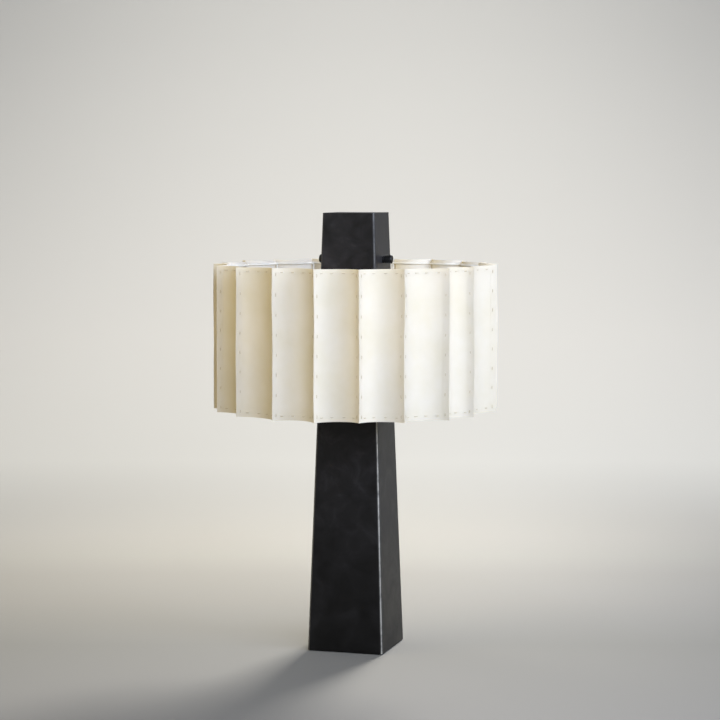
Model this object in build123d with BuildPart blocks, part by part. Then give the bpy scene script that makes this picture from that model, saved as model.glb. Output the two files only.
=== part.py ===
from build123d import *
import os
from math import atan, cos, radians, sin, sqrt

# A table lamp: a tapered square steel column, a steel hood over its top with two switch knobs,
# and a round shade of curved paper panels on a wire frame, with two bulbs inside.
# Sizes are in millimetres. The floor is z = 0, the lamp's axis is Z and its front faces -Y.

# Column
column_base_side = 116.0
column_top_side = 78.8
column_wall = 2.5
corner_chamfer = 2.8
top_plate_thickness = 4.0

# Base
pad_thickness = 1.5
pad_inset = 6.0
base_plate_thickness = 6.0
base_fit = 0.4
lug_side = 14.0
lug_height = 12.0
ballast_height = 24.0
ballast_gap = 1.2
base_screw_diameter = 5.0
ballast_screw_diameter = 6.0
ballast_screw_spacing = 56.0
screw_fit = 0.15

# Supply entry and terminals
bush_height = 44.0
bush_diameter = 14.0
bush_flange_diameter = 19.0
bush_flange_thickness = 2.5
bush_inner_length = 8.0
cord_bore_diameter = 7.4
terminal_width = 24.0
terminal_depth = 26.0
terminal_height = 16.0
lead_diameter = 4.0

# Shade
shade_bottom = 359.0
shade_height = 215.0
shade_radius = 212.0
panel_count = 20
# the hand-set seams stand a few degrees off even spacing; the keys are seam numbers
seam_shifts = {
    0: 0.6,
    2: -0.6,
    3: 1.4,
    4: -2.4,
    5: 2.0,
    6: 3.0,
    7: 1.5,
    16: -0.5,
    17: -2.9,
    18: -1.5,
    19: 0.8,
}
flute_depth = 18.0
panel_thickness = 1.0
seam_gap = 0.1
edge_inset = 6.0
wire_diameter = 3.0
wire_gap = 0.3
cusp_bend_radius = 3.5
spoke_diameter = 5.0
spider_drop = 28.0
collar_height = 12.0
collar_wall = 4.0
collar_fit = 0.1
weld_gap = 0.1

# Hood
hood_height = 94.0
hood_top_side = 79.3
hood_wall = 2.5
hood_fit = 0.25
hood_overlap = 14.0
hood_gap = 4.0
cleat_length = 40.0
cleat_depth = 5.0
cleat_thickness = 3.0
hood_screw_diameter = 4.0

# Switches and knobs
switch_rise = 11.0
switch_side = 18.0
switch_depth = 22.0
switch_bush_diameter = 8.0
spindle_diameter = 5.0
spindle_fit = 0.05
spindle_flat = 0.8
nut_diameter = 11.0
nut_thickness = 2.0
knob_gap = 0.5
knob_diameter = 12.8
knob_length = 11.7
knob_head_length = 4.4
knob_neck_diameter = 10.8
knob_grooves = 24
groove_depth = 0.35
index_width = 1.0

# Lampholders and bulbs
arm_rise = 13.0
arm_reach = 98.0
arm_diameter = 12.0
arm_bore = 8.0
arm_bend_radius = 24.0
arm_entry = 9.0
flange_diameter = 26.0
flange_thickness = 3.0
lock_nut_across_flats = 18.0
lock_nut_thickness = 4.0
holder_diameter = 38.0
holder_height = 50.0
holder_entry = 7.0
bulb_cap_diameter = 26.0
bulb_cap_height = 27.0
bulb_neck_gap = 1.0
bulb_cap_fit = 0.6
bulb_diameter = 60.0
bulb_neck_diameter = 28.0
bulb_neck_curve = 30.0
bulb_neck_length = 4.0
glass_wall = 1.0

# Leads inside the column
grommet_diameter = 26.0
grommet_bore = 20.0
grommet_lip = 1.5
supply_lane = 7.0
supply_spread = 2.0
holder_lead_spread = 6.0
supply_bend = 12.0
holder_bend = 8.0
lead_gap = 0.1

# Heights and places that follow from the sizes above
column_foot = pad_thickness
shade_top = shade_bottom + shade_height
spider_height = shade_top - spider_drop
hood_bottom = spider_height + collar_height / 2 + hood_gap
hood_top = hood_bottom + hood_height
column_top = hood_bottom + hood_overlap
switch_height = column_top + switch_rise
plate_top = column_foot + base_plate_thickness
ballast_top = plate_top + ballast_height
arm_height = shade_bottom + arm_rise
holder_bottom = arm_height + arm_bend_radius
glass_bottom = holder_bottom + holder_height + bulb_neck_gap
bulb_seat = glass_bottom - bulb_cap_height

column_slope = (column_base_side - column_top_side) / 2 / (column_top - column_foot)


def column_half(height):
    """Half the column's outside width at a height."""
    return column_base_side / 2 - column_slope * (height - column_foot)


hood_bottom_half = column_half(hood_bottom) + hood_fit + hood_wall
hood_slope = (hood_bottom_half - hood_top_side / 2) / hood_height


def hood_half(height):
    """Half the hood's outside width at a height."""
    return hood_bottom_half - hood_slope * (height - hood_bottom)


# seams are numbered from the front, counter-clockwise as seen from above
seam_angles = [
    -90 + number * 360 / panel_count + seam_shifts.get(number, 0) for number in range(panel_count)
]
sides = {"left": -1, "right": 1}


def flute_arc(number):
    """The flute after this seam: its middle and half angle, and its arc's centre and radius."""
    pitch = (seam_angles[(number + 1) % panel_count] - seam_angles[number]) % 360
    half_angle = radians(pitch / 2)
    chord_half = shade_radius * sin(half_angle)
    arc_radius = (chord_half**2 + flute_depth**2) / (2 * flute_depth)
    arc_centre = shade_radius * cos(half_angle) - flute_depth + arc_radius
    return seam_angles[number] + pitch / 2, half_angle, arc_centre, arc_radius


def turned(distance, angle):
    """The point at this distance from the lamp's axis and this angle in degrees."""
    return Vector(distance * cos(radians(angle)), distance * sin(radians(angle)))


os.makedirs("parts", exist_ok=True)


def save(piece, name):
    """Label a finished piece and write it."""
    piece.part.label = name
    export_step(piece.part, f"parts/{name}.step")


def tapered_box(bottom, top, bottom_half, top_half, chamfer_size=0.0):
    """A square frustum with narrow flats on its four upright corners."""
    with BuildPart() as box:
        for height, half in ((bottom, bottom_half), (top, top_half)):
            with BuildSketch(Plane.XY.offset(height)) as section:
                Rectangle(2 * half, 2 * half)
                if chamfer_size > 0:
                    chamfer(section.vertices(), length=chamfer_size)
        loft(ruled=True)
    return box.part


def countersunk_screw(diameter, length):
    """A countersunk screw, head flush with z = 0 and pointing up."""
    with BuildPart() as screw:
        Cone(diameter, diameter / 2, diameter / 2, align=(Align.CENTER, Align.CENTER, Align.MIN))
        Cylinder(diameter / 2, length, align=(Align.CENTER, Align.CENTER, Align.MIN))
    return screw.part


def countersunk_hole(diameter, depth):
    """The clearance hole for that screw."""
    with BuildPart() as hole:
        Cone(
            diameter + screw_fit,
            (diameter + screw_fit) / 2,
            (diameter + screw_fit) / 2,
            align=(Align.CENTER, Align.CENTER, Align.MIN),
        )
        Cylinder(diameter / 2 + screw_fit, depth, align=(Align.CENTER, Align.CENTER, Align.MIN))
    return hole.part


def side_plane(side, half, height, slope):
    """The sloping left or right face, with its normal outwards and its y upwards."""
    return Plane(
        origin=(side * half, 0, height),
        x_dir=(0, side, 0),
        z_dir=(side * cos(atan(slope)), 0, sin(atan(slope))),
    )


# ---- base ----
pad_side = column_base_side - 2 * pad_inset
with BuildPart() as foot_pad:
    with BuildSketch() as pad_outline:
        Rectangle(pad_side, pad_side)
        fillet(pad_outline.vertices(), radius=pad_inset)
    extrude(amount=pad_thickness)
save(foot_pad, "foot_pad")

plate_half = column_half(plate_top) - column_wall - base_fit
lug_outer = column_half(plate_top + lug_height) - column_wall - base_fit
lug_centre = lug_outer - lug_side / 2
ballast_half = column_half(ballast_top) - column_wall - ballast_gap
ballast_chamfer = 2 * (ballast_half - lug_outer + lug_side + ballast_gap)
base_screw_length = base_plate_thickness + lug_height - 2
ballast_screw_length = base_plate_thickness + ballast_height / 2
screw_plane = Plane.XY.offset(column_foot)
base_hole = countersunk_hole(base_screw_diameter, base_plate_thickness)
ballast_hole = countersunk_hole(ballast_screw_diameter, base_plate_thickness)

with BuildPart(screw_plane) as base_plate:
    with BuildSketch(screw_plane) as plate_outline:
        Rectangle(2 * plate_half, 2 * plate_half)
        chamfer(plate_outline.vertices(), length=corner_chamfer)
    extrude(amount=base_plate_thickness)
    with GridLocations(2 * lug_centre, 2 * lug_centre, 2, 2):
        add(base_hole, mode=Mode.SUBTRACT)
    with GridLocations(ballast_screw_spacing, 0, 2, 1):
        add(ballast_hole, mode=Mode.SUBTRACT)
save(base_plate, "base_plate")

with BuildPart() as base_lugs:
    with BuildSketch(Plane.XY.offset(plate_top)):
        with GridLocations(2 * lug_centre, 2 * lug_centre, 2, 2):
            Rectangle(lug_side, lug_side)
            Circle(base_screw_diameter / 2 + screw_fit, mode=Mode.SUBTRACT)
    extrude(amount=lug_height)
save(base_lugs, "base_lugs")

with BuildPart(screw_plane) as base_screws:
    with GridLocations(2 * lug_centre, 2 * lug_centre, 2, 2):
        add(countersunk_screw(base_screw_diameter, base_screw_length))
save(base_screws, "base_screws")

with BuildPart() as ballast_block:
    with BuildSketch(Plane.XY.offset(plate_top)) as ballast_outline:
        Rectangle(2 * ballast_half, 2 * ballast_half)
        chamfer(ballast_outline.vertices(), length=ballast_chamfer)
        with GridLocations(ballast_screw_spacing, 0, 2, 1):
            Circle(ballast_screw_diameter / 2 + screw_fit, mode=Mode.SUBTRACT)
    extrude(amount=ballast_height)
save(ballast_block, "ballast_block")

with BuildPart(screw_plane) as ballast_screws:
    with GridLocations(ballast_screw_spacing, 0, 2, 1):
        add(countersunk_screw(ballast_screw_diameter, ballast_screw_length))
save(ballast_screws, "ballast_screws")

with BuildPart() as terminal_block:
    with BuildSketch(Plane.XY.offset(ballast_top)):
        Rectangle(terminal_width, terminal_depth)
    extrude(amount=terminal_height)
    terminal_screw_plane = Plane.XZ.offset(terminal_depth / 2)
    with BuildSketch(terminal_screw_plane.offset(-terminal_depth / 4)):
        with Locations((0, ballast_top + terminal_height * 0.7)):
            with GridLocations(terminal_width / 3, 0, 3, 1):
                Circle(terminal_width / 12)
    extrude(amount=terminal_depth / 4, mode=Mode.SUBTRACT)
save(terminal_block, "terminal_block")

# ---- column ----
arm_wall_plane = {
    name: side_plane(side, column_half(arm_height), arm_height, column_slope)
    for name, side in sides.items()
}
shell_top = column_top - top_plate_thickness
hood_screw_height = (hood_bottom + shell_top) / 2

with BuildPart() as column_shell:
    add(
        tapered_box(
            column_foot, shell_top, column_half(column_foot), column_half(shell_top), corner_chamfer
        )
    )
    add(
        tapered_box(
            column_foot,
            shell_top,
            column_half(column_foot) - column_wall,
            column_half(shell_top) - column_wall,
        ),
        mode=Mode.SUBTRACT,
    )
    # the arms pass through the left and right walls
    with BuildSketch(Plane.YZ):
        with Locations((0, arm_height)):
            Circle(arm_diameter / 2 + screw_fit)
    extrude(amount=column_base_side, both=True, mode=Mode.SUBTRACT)
    # the cord bush sits in the back wall
    with BuildSketch(Plane.XZ):
        with Locations((0, bush_height)):
            Circle(bush_diameter / 2 + screw_fit)
    extrude(amount=-column_base_side, mode=Mode.SUBTRACT)
    # tapped holes for the hood's screws, front and back
    with BuildSketch(Plane.XZ):
        with Locations((0, hood_screw_height)):
            Circle(hood_screw_diameter / 2 + screw_fit)
    extrude(amount=column_base_side, both=True, mode=Mode.SUBTRACT)
save(column_shell, "column_shell")

with BuildPart() as column_top_plate:
    with BuildSketch(Plane.XY.offset(shell_top)) as top_outline:
        Rectangle(column_top_side, column_top_side)
        chamfer(top_outline.vertices(), length=corner_chamfer)
        Circle(grommet_diameter / 2, mode=Mode.SUBTRACT)
    extrude(amount=top_plate_thickness)
save(column_top_plate, "column_top_plate")

with BuildPart() as top_plate_grommet:
    grommet_height = top_plate_thickness + 2 * grommet_lip
    with BuildSketch(Plane.XY.offset(shell_top - grommet_lip)):
        Circle(grommet_diameter / 2 + grommet_lip)
    extrude(amount=grommet_height)
    with BuildSketch(Plane.XY.offset(shell_top)):
        Circle(grommet_diameter)
        Circle(grommet_diameter / 2 - lead_gap, mode=Mode.SUBTRACT)
    extrude(amount=top_plate_thickness, mode=Mode.SUBTRACT)
    with BuildSketch(Plane.XY.offset(shell_top - grommet_lip)):
        Circle(grommet_bore / 2)
    extrude(amount=grommet_height, mode=Mode.SUBTRACT)
save(top_plate_grommet, "top_plate_grommet")

# the cord bush: a flange outside, a barrel through the wall and a snap ring inside
bush_wall_y = column_half(bush_height)
back_face = Plane(
    origin=(0, bush_wall_y, bush_height),
    x_dir=(1, 0, 0),
    z_dir=(0, cos(atan(column_slope)), sin(atan(column_slope))),
)
back_face_inside = back_face.offset(-column_wall)
bush_outer_end = bush_wall_y + bush_flange_thickness
bush_inner_end = bush_wall_y - column_wall - bush_inner_length

with BuildPart() as bush_flange:
    with BuildSketch(Plane.XZ.offset(-bush_outer_end)):
        with Locations((0, bush_height)):
            Circle(bush_flange_diameter / 2)
    extrude(amount=2 * bush_flange_thickness)
    split(bisect_by=back_face, keep=Keep.TOP)
    fillet(bush_flange.faces().sort_by(Axis.Y)[-1].edges(), radius=bush_flange_thickness / 3)
with BuildPart() as bush_ring:
    with BuildSketch(Plane.XZ.offset(-bush_inner_end)):
        with Locations((0, bush_height)):
            Circle(bush_flange_diameter / 2 - 1)
    extrude(amount=-2 * bush_inner_length)
    split(bisect_by=back_face_inside, keep=Keep.BOTTOM)
with BuildPart() as cord_bush:
    with BuildSketch(Plane.XZ.offset(-bush_outer_end)):
        with Locations((0, bush_height)):
            Circle(bush_diameter / 2)
    extrude(amount=bush_outer_end - bush_inner_end)
    add(bush_flange.part)
    add(bush_ring.part)
    with BuildSketch(Plane.XZ.offset(-bush_outer_end - 1)):
        with Locations((0, bush_height)):
            Circle(cord_bore_diameter / 2)
    extrude(amount=column_base_side / 2, mode=Mode.SUBTRACT)
save(cord_bush, "cord_bush")

# ---- hood and switches ----
switch_face = {
    name: side_plane(side, hood_half(switch_height), switch_height, hood_slope)
    for name, side in sides.items()
}
bush_reach = nut_thickness + 0.3
knob_start = bush_reach + knob_gap

with BuildPart() as cap_hood:
    add(tapered_box(hood_bottom, hood_top, hood_bottom_half, hood_top_side / 2, corner_chamfer))
    add(
        tapered_box(
            hood_bottom,
            hood_top - hood_wall,
            hood_bottom_half - hood_wall,
            hood_half(hood_top - hood_wall) - hood_wall,
        ),
        mode=Mode.SUBTRACT,
    )
    # cleats inside the front and back walls stand on the column's top plate
    cleat_outer = hood_half(column_top) - hood_wall / 2
    cleat_inner = hood_half(column_top) - hood_wall - cleat_depth
    with BuildSketch(Plane.XY.offset(column_top)):
        with GridLocations(0, cleat_outer + cleat_inner, 1, 2):
            Rectangle(cleat_length, cleat_outer - cleat_inner)
    extrude(amount=cleat_thickness)
    for face in switch_face.values():
        with BuildSketch(face):
            Circle(switch_bush_diameter / 2 + screw_fit)
        extrude(amount=-2 * hood_wall, mode=Mode.SUBTRACT)
    with BuildSketch(Plane.XZ):
        with Locations((0, hood_screw_height)):
            Circle(hood_screw_diameter / 2 + screw_fit)
    extrude(amount=2 * hood_bottom_half, both=True, mode=Mode.SUBTRACT)
save(cap_hood, "cap_hood")

hood_screw_seat = hood_half(hood_screw_height) + hood_slope * hood_screw_diameter
with BuildPart() as hood_screws:
    for direction in (-1, 1):
        head_plane = Plane(
            origin=(0, direction * hood_screw_seat, hood_screw_height),
            x_dir=(1, 0, 0),
            z_dir=(0, direction, 0),
        )
        with BuildSketch(head_plane):
            Circle(hood_screw_diameter * 0.95)
        extrude(amount=hood_screw_diameter * 0.5)
        with BuildSketch(head_plane):
            Circle(hood_screw_diameter / 2)
        extrude(amount=-(hood_wall + hood_fit + column_wall + 2))
save(hood_screws, "hood_screws")

with BuildPart() as switch_ring_nuts:
    for face in switch_face.values():
        with BuildSketch(face):
            Circle(nut_diameter / 2)
            Circle(switch_bush_diameter / 2 + screw_fit, mode=Mode.SUBTRACT)
        extrude(amount=nut_thickness)
save(switch_ring_nuts, "switch_ring_nuts")

spindle_end = knob_start + knob_length - knob_head_length
spindle_depth = hood_wall + switch_depth / 2
knob_grip = knob_length - knob_head_length

for name, face in switch_face.items():
    with BuildPart() as rotary_switch:
        with BuildSketch(face.offset(-hood_wall)) as switch_outline:
            Rectangle(switch_side, switch_side)
            fillet(switch_outline.vertices(), radius=1.5)
        extrude(amount=-switch_depth)
        with BuildSketch(face.offset(-hood_wall)):
            Circle(switch_bush_diameter / 2)
        extrude(amount=hood_wall + bush_reach)
        with BuildSketch(face.offset(-spindle_depth - knob_gap)):
            Circle(spindle_diameter / 2 + spindle_fit)
        extrude(amount=spindle_depth + 2 * knob_gap + bush_reach, mode=Mode.SUBTRACT)
    save(rotary_switch, f"rotary_switch_{name}")

    with BuildPart() as switch_spindle:
        with BuildSketch(face.offset(-spindle_depth)):
            Circle(spindle_diameter / 2)
        extrude(amount=spindle_depth + spindle_end - knob_gap)
        # the flat that drives the knob
        with BuildSketch(face.offset(knob_start)):
            with Locations((0, spindle_diameter - spindle_flat)):
                Rectangle(spindle_diameter, spindle_diameter)
        extrude(amount=spindle_end - knob_start, mode=Mode.SUBTRACT)
    save(switch_spindle, f"switch_spindle_{name}")

    with BuildPart() as switch_knob:
        with BuildSketch(face.offset(knob_start)):
            Circle(knob_neck_diameter / 2)
        extrude(amount=knob_grip)
        with BuildSketch(face.offset(knob_start + knob_grip)):
            Circle(knob_diameter / 2)
        extrude(amount=knob_head_length)
        end_edge = switch_knob.edges().filter_by(GeomType.CIRCLE).sort_by(Axis.X)
        end_edge = end_edge[-1] if sides[name] > 0 else end_edge[0]
        fillet(end_edge, radius=knob_head_length * 0.45)
        # fine grooves for the fingers round the neck
        with BuildSketch(face.offset(knob_start)):
            with PolarLocations(knob_neck_diameter / 2, knob_grooves):
                Circle(groove_depth)
        extrude(amount=knob_grip - groove_depth, mode=Mode.SUBTRACT)
        # the index line across the end, from the centre outwards
        with BuildSketch(face.offset(knob_start + knob_length - groove_depth)):
            with Locations((0, knob_diameter / 4)):
                Rectangle(index_width, knob_diameter / 2)
        extrude(amount=knob_head_length, mode=Mode.SUBTRACT)
        # the spindle's bore with its flat
        with BuildSketch(face.offset(knob_start)):
            Circle(spindle_diameter / 2 + spindle_fit)
            with Locations((0, spindle_diameter - spindle_flat + spindle_fit)):
                Rectangle(2 * spindle_diameter, spindle_diameter, mode=Mode.SUBTRACT)
        extrude(amount=spindle_end - knob_start, mode=Mode.SUBTRACT)
    save(switch_knob, f"switch_knob_{name}")

# ---- lampholders, arms and bulbs ----
wall_inside = column_half(arm_height) - column_wall
arm_start = wall_inside - arm_entry
bulb_radius = bulb_diameter / 2
neck_radius = bulb_neck_diameter / 2
neck_arc_height = glass_bottom + bulb_neck_length
bulb_centre = neck_arc_height + sqrt(
    (bulb_radius + bulb_neck_curve) ** 2 - (neck_radius + bulb_neck_curve) ** 2
)


def arm_route(side, start, end):
    """The arm's centre line: straight out of the column, then round and up to a height."""
    with BuildLine(Plane.XZ) as route:
        bend_start = side * (arm_reach - arm_bend_radius)
        bend_centre = (bend_start, arm_height + arm_bend_radius)
        corner = sin(radians(45)) * arm_bend_radius
        Line((side * start, arm_height), (bend_start, arm_height))
        ThreePointArc(
            (bend_start, arm_height),
            (bend_centre[0] + side * corner, bend_centre[1] - corner),
            (side * arm_reach, bend_centre[1]),
        )
        Line((side * arm_reach, bend_centre[1]), (side * arm_reach, end))
    return route.line


def bulb_outline(inset):
    """Half of the glass envelope's outline, drawn in from the outside by an inset."""
    blend = bulb_radius / (bulb_radius + bulb_neck_curve)
    waist = (neck_radius + bulb_neck_curve) * blend
    waist_height = bulb_centre - (bulb_centre - neck_arc_height) * blend
    arc_x = neck_radius + bulb_neck_curve
    curve = bulb_neck_curve + inset
    lean = atan((bulb_centre - neck_arc_height) / arc_x) / 2
    reach = (bulb_radius - inset) / bulb_radius
    joint = (waist * reach, bulb_centre + (waist_height - bulb_centre) * reach)
    top = bulb_centre + bulb_radius - inset
    with BuildLine() as half:
        Line((0, glass_bottom), (neck_radius - inset, glass_bottom))
        Line((neck_radius - inset, glass_bottom), (neck_radius - inset, neck_arc_height))
        ThreePointArc(
            (neck_radius - inset, neck_arc_height),
            (arc_x - curve * cos(lean), neck_arc_height + curve * sin(lean)),
            joint,
        )
        ThreePointArc(joint, (bulb_radius - inset, bulb_centre), (0, top))
        Line((0, top), (0, glass_bottom))
    return half.edges()


for name, side in sides.items():
    with BuildPart() as arm_tube:
        with BuildSketch(Plane(origin=(side * arm_start, 0, arm_height), z_dir=(side, 0, 0))):
            Circle(arm_diameter / 2)
            Circle(arm_bore / 2, mode=Mode.SUBTRACT)
        sweep(path=arm_route(side, arm_start, holder_bottom + holder_entry))
    save(arm_tube, f"arm_tube_{name}")

    holder_axis = Axis((side * arm_reach, 0, 0), (0, 0, 1))
    profile_plane = Plane(origin=(side * arm_reach, 0, 0), x_dir=(1, 0, 0), z_dir=(0, -1, 0))
    holder_radius = holder_diameter / 2
    socket_radius = bulb_cap_diameter / 2 + bulb_cap_fit
    entry_radius = arm_diameter / 2 + screw_fit
    with BuildPart() as lampholder:
        with BuildSketch(profile_plane):
            with BuildLine():
                Polyline(
                    (entry_radius, holder_bottom),
                    (holder_radius * 0.6, holder_bottom),
                    (holder_radius * 0.85, holder_bottom + holder_height * 0.2),
                    (holder_radius * 0.85, holder_bottom + holder_height * 0.45),
                    (holder_radius, holder_bottom + holder_height * 0.5),
                    (holder_radius, holder_bottom + holder_height),
                    (socket_radius, holder_bottom + holder_height),
                    (socket_radius, bulb_seat),
                    (0, bulb_seat),
                    (0, holder_bottom + holder_entry + lead_gap),
                    (entry_radius, holder_bottom + holder_entry + lead_gap),
                    close=True,
                )
            make_face()
        revolve(axis=holder_axis)
    save(lampholder, f"lampholder_{name}")

    with BuildPart() as bulb_cap:
        with BuildSketch(profile_plane):
            with BuildLine():
                Polyline(
                    (0, bulb_seat),
                    (bulb_cap_diameter * 0.2, bulb_seat),
                    (bulb_cap_diameter * 0.3, bulb_seat + 2),
                    (bulb_cap_diameter / 2, bulb_seat + bulb_cap_height * 0.15),
                    (bulb_cap_diameter / 2, glass_bottom),
                    (0, glass_bottom),
                    close=True,
                )
            make_face()
        revolve(axis=holder_axis)
    save(bulb_cap, f"bulb_cap_{name}")

    with BuildPart() as bulb_glass:
        with BuildSketch(profile_plane):
            make_face(bulb_outline(0))
            make_face(bulb_outline(glass_wall), mode=Mode.SUBTRACT)
        revolve(axis=holder_axis)
    save(bulb_glass, f"bulb_glass_{name}")

with BuildPart() as arm_flanges:
    for name, side in sides.items():
        with BuildSketch(arm_wall_plane[name]):
            Circle(flange_diameter / 2)
        extrude(amount=flange_thickness)
    with BuildSketch(Plane.YZ):
        with Locations((0, arm_height)):
            Circle(arm_diameter / 2 + screw_fit)
    extrude(amount=column_base_side, both=True, mode=Mode.SUBTRACT)
save(arm_flanges, "arm_flanges")

with BuildPart() as arm_lock_nuts:
    for name, side in sides.items():
        with BuildSketch(arm_wall_plane[name].offset(-column_wall)):
            RegularPolygon(lock_nut_across_flats / 2, 6, major_radius=False)
        extrude(amount=-lock_nut_thickness)
    with BuildSketch(Plane.YZ):
        with Locations((0, arm_height)):
            Circle(arm_diameter / 2 + screw_fit)
    extrude(amount=column_base_side, both=True, mode=Mode.SUBTRACT)
save(arm_lock_nuts, "arm_lock_nuts")

# ---- leads inside the column ----
switch_rear = hood_half(switch_height) - hood_wall - switch_depth - lead_gap
switch_rear -= hood_slope * lead_diameter
lead_level = switch_height - hood_slope * (hood_wall + switch_depth)


def quarter(centre_x, centre_z, bend, start_angle, end_angle):
    """The three points of a quarter turn, from one direction to another, in degrees."""
    middle_angle = (start_angle + end_angle) / 2
    return [
        (centre_x + bend * cos(radians(angle)), centre_z + bend * sin(radians(angle)))
        for angle in (start_angle, middle_angle, end_angle)
    ]


with BuildPart() as supply_leads:
    for side in sides.values():
        lane = Plane.XZ.offset(-side * supply_lane)
        lead_bottom = ballast_top + terminal_height
        bend_x = supply_spread + supply_bend
        turn = quarter(bend_x, lead_level - supply_bend, supply_bend, 180, 90)
        with BuildLine(lane) as supply_path:
            Line((side * supply_spread, lead_bottom), (side * turn[0][0], turn[0][1]))
            ThreePointArc(*[(side * x, z) for x, z in turn])
            Line((side * turn[2][0], turn[2][1]), (side * switch_rear, lead_level))
        with BuildSketch(Plane((side * supply_spread, side * supply_lane, lead_bottom))):
            Circle(lead_diameter / 2)
        sweep(path=supply_path.line)
save(supply_leads, "supply_leads")

with BuildPart() as holder_leads:
    for side in sides.values():
        upper = quarter(
            holder_lead_spread + holder_bend, lead_level - holder_bend, holder_bend, 90, 180
        )
        lower = quarter(
            holder_lead_spread + 2 * supply_bend,
            arm_height + 2 * supply_bend,
            2 * supply_bend,
            180,
            270,
        )
        elbow = quarter(
            arm_reach - arm_bend_radius, arm_height + arm_bend_radius, arm_bend_radius, 270, 360
        )
        with BuildLine(Plane.XZ) as holder_path:
            here = (side * switch_rear, lead_level)
            for turn in (upper, lower, elbow):
                turn = [(side * x, z) for x, z in turn]
                Line(here, turn[0])
                ThreePointArc(*turn)
                here = turn[2]
            Line(here, (here[0], holder_bottom + holder_entry))
        with BuildSketch(Plane(origin=(side * switch_rear, 0, lead_level), z_dir=(-side, 0, 0))):
            Circle(lead_diameter / 2)
        sweep(path=holder_path.line)
save(holder_leads, "holder_leads")

# ---- shade frame ----
wire_radius = wire_diameter / 2
wire_offset = panel_thickness + wire_gap + wire_radius


def wire_flute(number):
    """The centre of a flute's arc and the radius of the wire that follows it."""
    middle, _, arc_centre, arc_radius = flute_arc(number % panel_count)
    return turned(arc_centre, middle), arc_radius + wire_offset


def bend_point(number):
    """The centre of the small bend behind a seam, which touches the wire arcs on both sides."""
    before, radius_before = wire_flute(number - 1)
    after, radius_after = wire_flute(number)
    reach_before = radius_before + cusp_bend_radius
    reach_after = radius_after + cusp_bend_radius
    apart = (after - before).length
    along = (reach_before**2 - reach_after**2 + apart**2) / (2 * apart)
    inwards = sqrt(reach_before**2 - along**2)
    direction = (after - before) / apart
    return before + direction * along + Vector(-direction.Y, direction.X) * inwards


bends = [bend_point(number) for number in range(panel_count)]
ribs = [bend + bend.normalized() * cusp_bend_radius for bend in bends]


def touch_point(number, seam):
    """Where the wire along a flute runs into the small bend behind a seam."""
    centre, wire_arc = wire_flute(number)
    return centre + (bends[seam % panel_count] - centre).normalized() * wire_arc


def ring(height):
    """A round wire bent to the inside of the flutes, with a small bend behind each cusp."""
    level = Vector(0, 0, height)
    with BuildPart() as wire_ring:
        with BuildLine() as wire_path:
            for number in range(panel_count):
                centre, wire_arc = wire_flute(number)
                beyond = number + 1
                ThreePointArc(
                    touch_point(number, number) + level,
                    centre - centre.normalized() * wire_arc + level,
                    touch_point(number, beyond) + level,
                )
                ThreePointArc(
                    touch_point(number, beyond) + level,
                    ribs[beyond % panel_count] + level,
                    touch_point(beyond, beyond) + level,
                )
        with BuildSketch(Plane(origin=wire_path.line @ 0, z_dir=wire_path.line % 0)):
            Circle(wire_radius)
        sweep(path=wire_path.line)
    return wire_ring


ring_levels = {"bottom": shade_bottom + edge_inset, "top": shade_top - edge_inset}
for name, level in ring_levels.items():
    save(ring(level), f"shade_{name}_ring")

rib_bottom = ring_levels["bottom"] + wire_radius + weld_gap
rib_top = ring_levels["top"] - wire_radius - weld_gap
with BuildPart() as shade_ribs:
    with BuildSketch(Plane.XY.offset(rib_bottom)):
        with Locations(ribs):
            Circle(wire_radius)
    extrude(amount=rib_top - rib_bottom)
save(shade_ribs, "shade_ribs")

collar_bottom = spider_height - collar_height / 2
collar_half = column_half(collar_bottom) + collar_fit + collar_wall
with BuildPart() as shade_collar:
    with BuildSketch(Plane.XY.offset(collar_bottom)) as collar_outline:
        Rectangle(2 * collar_half, 2 * collar_half)
        fillet(collar_outline.vertices(), radius=corner_chamfer)
    extrude(amount=collar_height)
    add(
        tapered_box(
            collar_bottom,
            collar_bottom + collar_height,
            column_half(collar_bottom) + collar_fit,
            column_half(collar_bottom + collar_height) + collar_fit,
        ),
        mode=Mode.SUBTRACT,
    )
save(shade_collar, "shade_collar")

with BuildPart() as shade_spokes:
    # one spoke from each side of the collar to the rib that it faces
    for rib in ribs[:: panel_count // 4]:
        outwards = rib.normalized()
        spoke_start = outwards * (collar_half - collar_wall) + Vector(0, 0, spider_height)
        with BuildSketch(Plane(origin=spoke_start, z_dir=outwards)):
            Circle(spoke_diameter / 2)
        extrude(amount=rib.length - wire_radius - weld_gap - collar_half + collar_wall)
    # cut flush with the collar's faces
    with BuildSketch(Plane.XY.offset(collar_bottom)):
        Rectangle(2 * collar_half, 2 * collar_half)
    extrude(amount=collar_height, mode=Mode.SUBTRACT)
save(shade_spokes, "shade_spokes")


# ---- paper panels ----
def seam_point(face_radius, half_angle, arc_centre):
    """Where a panel face of this radius meets the seam, in the panel's own plane."""
    across = arc_centre * cos(half_angle)
    rest = arc_centre**2 + seam_gap**2 - 2 * arc_centre * seam_gap * sin(half_angle)
    along = across - sqrt(across**2 - rest + face_radius**2)
    return (
        along * cos(half_angle) + seam_gap * sin(half_angle),
        along * sin(half_angle) - seam_gap * cos(half_angle),
    )


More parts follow.
